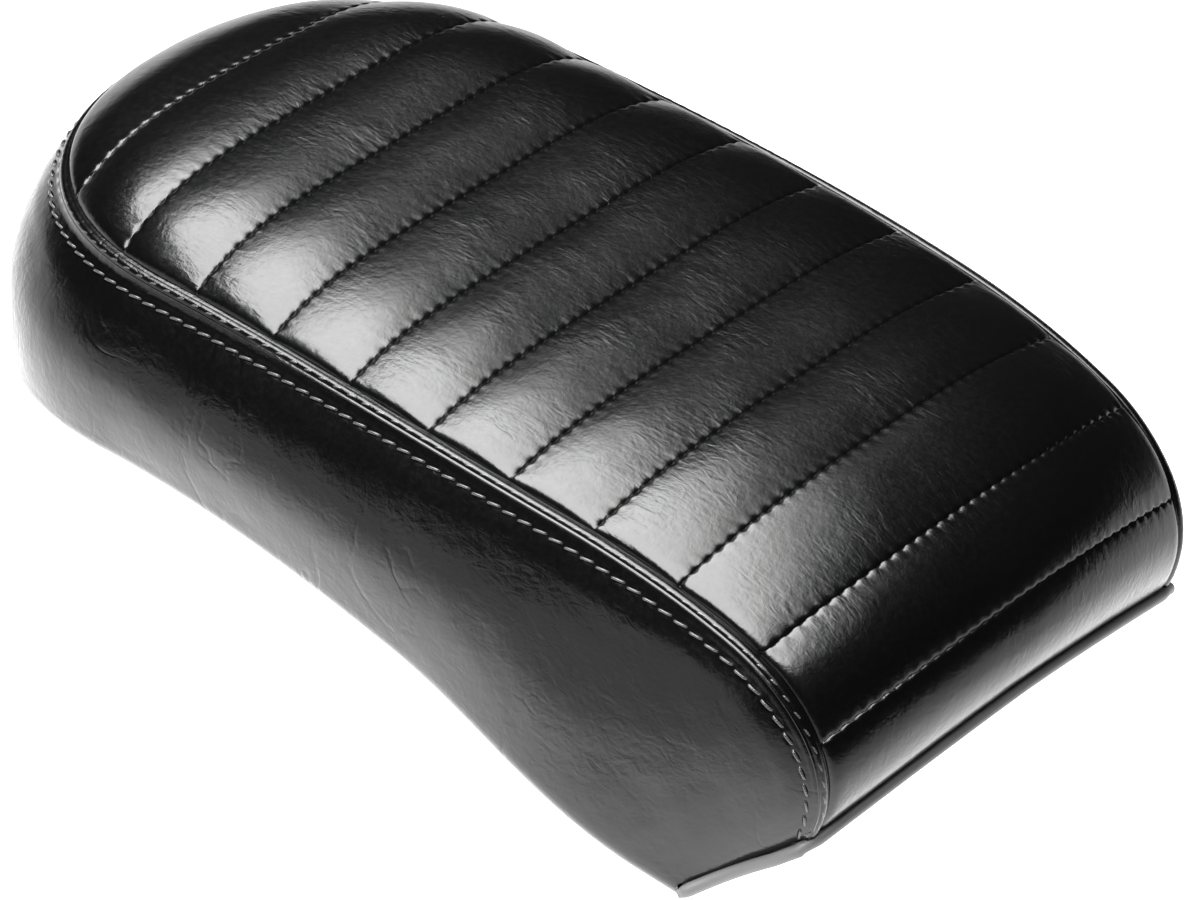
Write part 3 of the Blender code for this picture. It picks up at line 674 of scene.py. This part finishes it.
def roll_and_hem(bottom, out):
    """Rows of the bottom roll, a quarter turn, and of the hem that lies under the pan."""
    up = np.array([0.0, 0.0, 1.0])
    rows = []
    for angle in np.radians(np.arange(12.0, 91.0, 13.0)):
        rows.append(bottom + out * ROLL * (math.cos(angle) - 1.0) - up * ROLL * math.sin(angle))
    edge = rows[-1]
    for width in np.linspace(0.0, HEM, 8)[1:]:
        place = edge - out * width
        place[:, 2] = underside(place[:, 0], place[:, 1])
        rows.append(place)
    return rows


def boxing_band(finish):
    """Plain band round the sides and rear: welt over the cover's edge, wall, bottom roll and hem."""
    s, side = band_columns()
    t = np.concatenate([SHOULDER_STEPS, LOWER_STEPS])
    places, normals, distance, bottom, out = band_wall(s, side, t)
    joint_normal = unit(welt_place(s, side, 0.0)[1] + out)
    towards_joint = np.array([0.8, 0.45, 0.2])
    normals[1:4] = unit(normals[1:4] + joint_normal * towards_joint[:, None, None])
    above_roll = 1.0 - ease((t - 0.9) / 0.1)
    relief = band_relief(distance, length_along(places[0])) * above_roll[:, None]
    sides = places + normals * relief[..., None]
    rows = welt_rows(s, side, joint_normal) + list(sides[1:]) + roll_and_hem(bottom, out)
    band = closed_sheet("boxing_band", np.stack(rows), SHEET, finish, flip=True)
    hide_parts("side_band")


# ---- stitches -------------------------------------------------------------------------------------

def stitches(name, places, ahead, normals, length, finish, slant, size):
    """One raised thread for each stitch, diving into its needle holes at both ends."""
    sections, sides = 8, 7
    u = np.linspace(-1.0, 1.0, sections)
    cross = np.cross(normals, ahead)
    rise = STITCH_ARCH * (1.0 - u**2) - STITCH_DIVE * np.abs(u) ** 5
    taper = 1.0 - STITCH_TAPER * u**6
    angle = 2 * math.pi * np.arange(sides) / sides
    centre = (places[:, None] + ahead[:, None] * (u * length / 2)[None, :, None]
              + cross[:, None] * (u * length / 2 * slant)[None, :, None]
              + normals[:, None] * rise[None, :, None])
    ring = (cross[:, None, None] * np.cos(angle)[None, None, :, None] * size[0]
            + normals[:, None, None] * np.sin(angle)[None, None, :, None] * size[1])
    verts = (centre[:, :, None] + ring * taper[None, :, None, None]).reshape(-1, 3)
    faces = []
    for base in range(0, len(verts), sections * sides):
        for i in range(sections - 1):
            for j in range(sides):
                a, b = base + i * sides + j, base + i * sides + (j + 1) % sides
                faces.append((a, b, b + sides, a + sides))
        faces.append(tuple(range(base, base + sides))[::-1])
        faces.append(tuple(range(base + (sections - 1) * sides, base + sections * sides)))
    turn, reach = np.meshgrid(np.arange(sides) / sides, (u + 1) * 2.0)
    uvs = np.tile(np.stack([reach.ravel(), turn.ravel()], -1), (len(places), 1))
    piece(name, verts, faces, finish, uvs)


def pleat_stitches(finish):
    """A row of stitches on each cross seam, the same on both sides of the pad's middle."""
    reach = np.arange(0.0, 90.0, PLEAT_STITCH) + PLEAT_STITCH / 2
    whole_row = np.concatenate([-reach[::-1], reach])
    for k in range(CROSS_SEAMS):
        s = FIRST_SEAM + k * PITCH
        x = whole_row[from_edge(s + 0 * whole_row, whole_row) > PLEAT_END + 0.6]
        x = x[np.abs(x) < half_width(s)]
        normal = skin_normal(s, x)
        level = skin(s, x) + normal * (cover_relief(s + 0 * x, x) + PLEAT_LIFT)[:, None]
        ahead = unit(skin(s, x + 1.0) - skin(s, x - 1.0))
        stitches(f"pleat_stitches_{k + 1:02d}", level, ahead, normal, PLEAT_STITCH * PLEAT_THREAD, finish,
                 PLEAT_SLANT, THREAD)


def edge_rows(finish):
    """The two topstitched rows that run round the joint: on the welt and on the band."""
    s, side = band_columns()
    distances, heights = zip(*reversed(WELT[WELT_FOLD:]))
    height = np.interp(INNER_ROW, distances, heights)
    place, normal = welt_place(s, side, INNER_ROW)
    row_of_stitches("welt_stitches", place + normal * (height - THREAD_SINK), normal, finish, PRESSED_THREAD)

    places, normals, distance, _, _ = band_wall(s, side, SHOULDER_STEPS)
    columns = np.arange(len(s))
    near = np.argmin(np.abs(distance - OUTER_ROW), axis=0)
    below = np.minimum(near + 1, len(places) - 1)
    down = unit(places[below, columns] - places[near - 1, columns])
    line = places[near, columns] + down * (OUTER_ROW - distance[near, columns])[:, None]
    relief = float(band_relief(np.array([OUTER_ROW]), np.array([EDGE_STITCH / 2]))[0])
    normal = normals[near, columns]
    row_of_stitches("band_stitches", line + normal * (relief + BAND_LIFT), normal, finish, HEAVY_THREAD)


def row_of_stitches(name, line, normal, finish, size):
    """Stitches an edge pitch apart along a line."""
    run = length_along(line)
    centre = np.arange(EDGE_STITCH * 0.8, run[-1] - EDGE_STITCH * 0.5, EDGE_STITCH)

    def at(values, distance):
        return np.stack([np.interp(distance, run, values[:, i]) for i in range(3)], -1)

    ahead = unit(at(line, centre + 1) - at(line, centre - 1))
    stitches(name, at(line, centre), ahead, unit(at(normal, centre)), EDGE_STITCH * EDGE_THREAD, finish,
             EDGE_SLANT, size)


# ---- front trim -----------------------------------------------------------------------------------

def front_trim(finish):
    """Rubber bead up one wing, across the front and down the other wing, with a tongue behind it."""
    t = np.linspace(0.0, 1.0, 24)
    x = half_width(PANEL_LENGTH) * np.linspace(1, -1, 73)[2:-2]
    tilt = heading(PANEL_LENGTH)
    front = skin(PANEL_LENGTH, x)
    down = np.broadcast_to([0.0, math.cos(tilt), -math.sin(tilt)], front.shape)
    proud = np.broadcast_to([0.0, math.sin(tilt), math.cos(tilt)], front.shape)
    ends, aheads, outs = [], [], []
    for side in (1.0, -1.0):
        end, _, out = wall(np.array([PANEL_LENGTH]), np.array([side]), t)
        before, _, _ = wall(np.array([PANEL_LENGTH - 2.0]), np.array([side]), t)
        order = slice(None, None, -int(side))
        ends.append(end[order, 0])
        aheads.append((end - before)[order, 0])
        outs.append(np.broadcast_to(out[0], (len(t), 3)))
    edge = np.concatenate([ends[0], front, ends[1]])
    ahead = np.concatenate([aheads[0], down, aheads[1]])
    out = np.concatenate([outs[0], proud, outs[1]])
    run = unit(np.gradient(edge, axis=0))
    ahead = unit(ahead - run * np.sum(ahead * run, axis=-1, keepdims=True))
    bead_at = TRIM_RADIUS + GAP
    bead = tube("front_trim", edge + ahead * bead_at + out * TRIM_PROUD, TRIM_RADIUS, finish, 16)
    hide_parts("edge_trim")
    # The tongue's section: distance ahead of the vinyl's edge, depth under the skin.
    section = ((bead_at, 0.2), (1.5, 1.3), (0.6, 2.0), (-1.0, 2.3), (-3.5, 2.4))
    tongue = [edge + ahead * reach - out * under for reach, under in section]
    closed_sheet("front_trim_tongue", np.stack(tongue), TONGUE, finish)


# ---- frame nodes kept from the design -------------------------------------------------------------

def finish_frame_nodes(finishes):
    """Material for each node that stays visible, from a word in its name."""
    kinds = {"rivet": "zinc", "bolt": "zinc", "washer": "zinc", "nut": "zinc", "bumper": "rubber",
             "spacer": "rubber", "base_pan": "coat", "liner": "felt", "foam": "foam"}
    for name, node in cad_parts.items():
        for word, kind in kinds.items():
            if word in name:
                node.data.materials.clear()
                node.data.materials.append(finishes[kind])


# ---- stage, light and camera ----------------------------------------------------------------------

def stage():
    """White floor with painted light: it glows round the pad, over the pad's cast shadow, and fades outwards;
    seen from above only.
    """
    half = 8.0
    mesh = bpy.data.meshes.new("floor")
    corners = [(-half, -half, 0), (half, -half, 0), (half, half, 0), (-half, half, 0)]
    mesh.from_pydata(corners, [], [(0, 1, 2, 3)])
    n = Nodes("glowing_floor")
    around = n.stretched(n.place(), (1.0, 0.85, 0.0))
    around.node.inputs["Location"].default_value = (-0.03, 0.0, 0.0)
    away = n.node("ShaderNodeVectorMath", {0: around}, operation="LENGTH").outputs["Value"]
    # painted light: a strong glow just round the pad that fills the pad's cast shadow, and a weaker one
    # further out that fades away
    glow = n.math("ADD", n.span(away, 0.10, 0.24, 2.8, 0.0), n.span(away, 0.5, 0.8, 0.55, 0.05))
    n.set(Base_Color=(0.2, 0.2, 0.2, 1.0), Roughness=0.8, Emission_Color=(1.0, 1.0, 1.0, 1.0),
          Emission_Strength=glow)
    behind = n.node("ShaderNodeNewGeometry").outputs["Backfacing"]
    clear = n.node("ShaderNodeBsdfTransparent").outputs["BSDF"]
    sides = {0: behind, 1: n.shader.outputs["BSDF"], 2: clear}
    one_sided = n.node("ShaderNodeMixShader", sides).outputs["Shader"]
    n.tree.links.new(one_sided, n.tree.nodes["Material Output"].inputs["Surface"])
    mesh.materials.append(n.material)
    floor = bpy.data.objects.new("floor", mesh)
    bpy.context.scene.collection.objects.link(floor)
    floor.location.z = -0.0003


def softbox(name, place, width, height, radiance, turn=0.0, tip=0.0):
    """Rectangular lamp facing down, tipped towards -X and then turned about the vertical, in degrees."""
    lamp = bpy.data.lights.new(name, "AREA")
    lamp.shape = "RECTANGLE"
    lamp.size, lamp.size_y = width, height
    lamp.energy = radiance * math.pi * width * height
    thing = bpy.data.objects.new(name, lamp)
    bpy.context.scene.collection.objects.link(thing)
    thing.location = place
    thing.rotation_euler = (0.0, math.radians(tip), math.radians(turn))


LIGHT_TURN = -33.0
# Strips across the overhead lamp: from, to, radiance.
SOFTBOX_STRIPS = ((0.0, 0.62, 15.0), (-0.07, 0.0, 12.0), (-0.13, -0.07, 9.5), (-0.19, -0.13, 6.5),
                  (-0.25, -0.19, 3.8), (-0.32, -0.25, 1.9), (-0.42, -0.32, 0.8))


def lights():
    """Overhead softbox that dims to one side, three weaker panels and a faint world; metres."""
    turn = math.radians(LIGHT_TURN)
    length, lift = 1.50, Vector((0.0, 0.0, 1.0))
    middle = Vector((-math.sin(turn), math.cos(turn), 0.0)) * -0.15
    for number, (low, high, radiance) in enumerate(SOFTBOX_STRIPS):
        across = Vector((math.cos(turn), math.sin(turn), 0.0)) * (low + high) / 2
        place = across + middle + lift
        softbox(f"overhead_softbox_{number}", place, high - low, length, radiance, turn=LIGHT_TURN)
    softbox("rear_panel", (-0.47, -0.91, 1.0), 0.80, 0.24, 3.5, turn=LIGHT_TURN)
    softbox("left_panel", (-0.85, -0.80, 1.0), 0.50, 0.60, 0.25)
    softbox("low_card", (1.3, -0.45, 0.18), 0.36, 1.5, 1.0, tip=90.0)
    world = bpy.data.worlds.new("studio")
    bpy.context.scene.world = world
    world.use_nodes = True
    background = world.node_tree.nodes["Background"]
    background.inputs["Color"].default_value = (1, 1, 1, 1)
    background.inputs["Strength"].default_value = 0.01


def camera():
    """Long lens that looks down on the pad from its front right."""
    azimuth, elevation, roll = (math.radians(a) for a in (124.86, 39.12, 9.42))
    distance = 1.9275
    aim = Vector((16.4, 24.0, 42.2)) * MM
    back = Vector((math.sin(azimuth) * math.cos(elevation), -math.cos(azimuth) * math.cos(elevation),
                   math.sin(elevation)))
    level = Vector((math.cos(azimuth), math.sin(azimuth), 0.0))
    right = level * math.cos(roll) + back.cross(level) * math.sin(roll)
    lens = bpy.data.cameras.new("camera")
    lens.sensor_width, lens.lens = 36.0, 236.85
    thing = bpy.data.objects.new("camera", lens)
    bpy.context.scene.collection.objects.link(thing)
    turn = Matrix((right, back.cross(right), back)).transposed()
    thing.matrix_world = Matrix.Translation(aim + back * distance) @ turn.to_4x4()
    bpy.context.scene.camera = thing
    bpy.context.scene.view_settings.view_transform = "Standard"


def main():
    camera()
    pleated_cover(vinyl("pleat_vinyl", mottle=0.14, crinkle=0.25, crease=0.0))
    boxing_band(vinyl("band_vinyl", mottle=0.20, crinkle=0.24, crease=0.18))
    pleat_stitches(thread("pleat_thread", 0.08, 0.16))
    edge_rows(thread("edge_thread", 0.03, 0.07))
    front_trim(rubber("trim_rubber", 0.12, 0.40))
    finish_frame_nodes({"zinc": zinc(), "rubber": rubber("black_rubber", 0.025, 0.45), "coat": powder_coat(),
                        "felt": felt(), "foam": foam()})
    stage()
    lights()


main()
